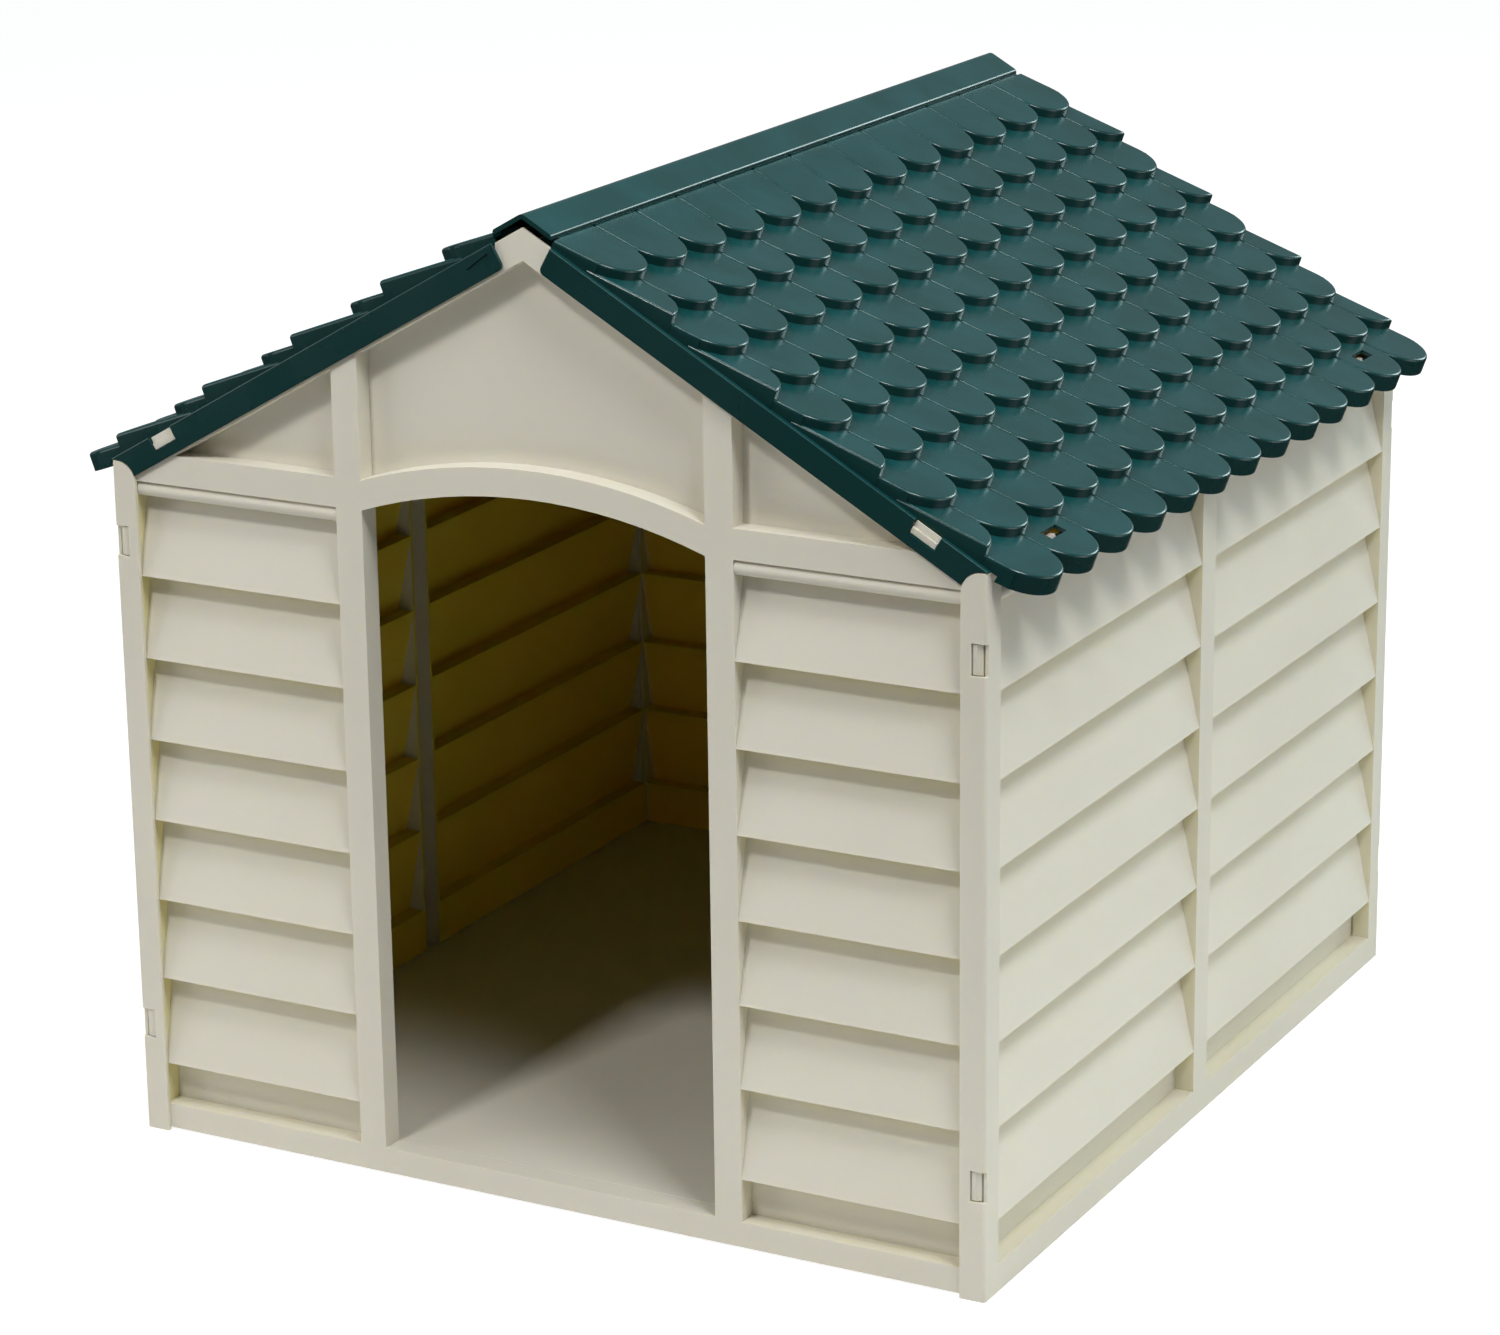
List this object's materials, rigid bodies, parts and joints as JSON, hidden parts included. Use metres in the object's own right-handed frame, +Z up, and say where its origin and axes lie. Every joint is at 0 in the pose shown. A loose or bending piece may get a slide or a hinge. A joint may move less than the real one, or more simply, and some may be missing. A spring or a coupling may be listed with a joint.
{
  "type": "plastic kennel",
  "caption": "Snap-together plastic animal house: louvred walls, an arched open doorway in the gable, a tray floor, and a gabled roof of moulded fish-scale shingles under a ridge cap.",
  "frame": {"origin": "middle of the overall footprint, on the ground", "axes": "+Z up, -Y out of the gable wall with the doorway, +X to the right when facing the doorway from outside"},
  "size_m": [0.7196, 0.704, 0.6776],
  "materials": {
    "cream_panels": "satin, slightly translucent",
    "green_roof": "semi-gloss"
  },
  "bodies": {
    "root": {"floor_panel": "cream_panels", "front_wall": "cream_panels", "back_wall": "cream_panels", "left_side_wall": "cream_panels", "right_side_wall": "cream_panels", "left_roof_panel": "green_roof", "right_roof_panel": "green_roof", "ridge_cap": "green_roof"}
  },
  "joints": []
}
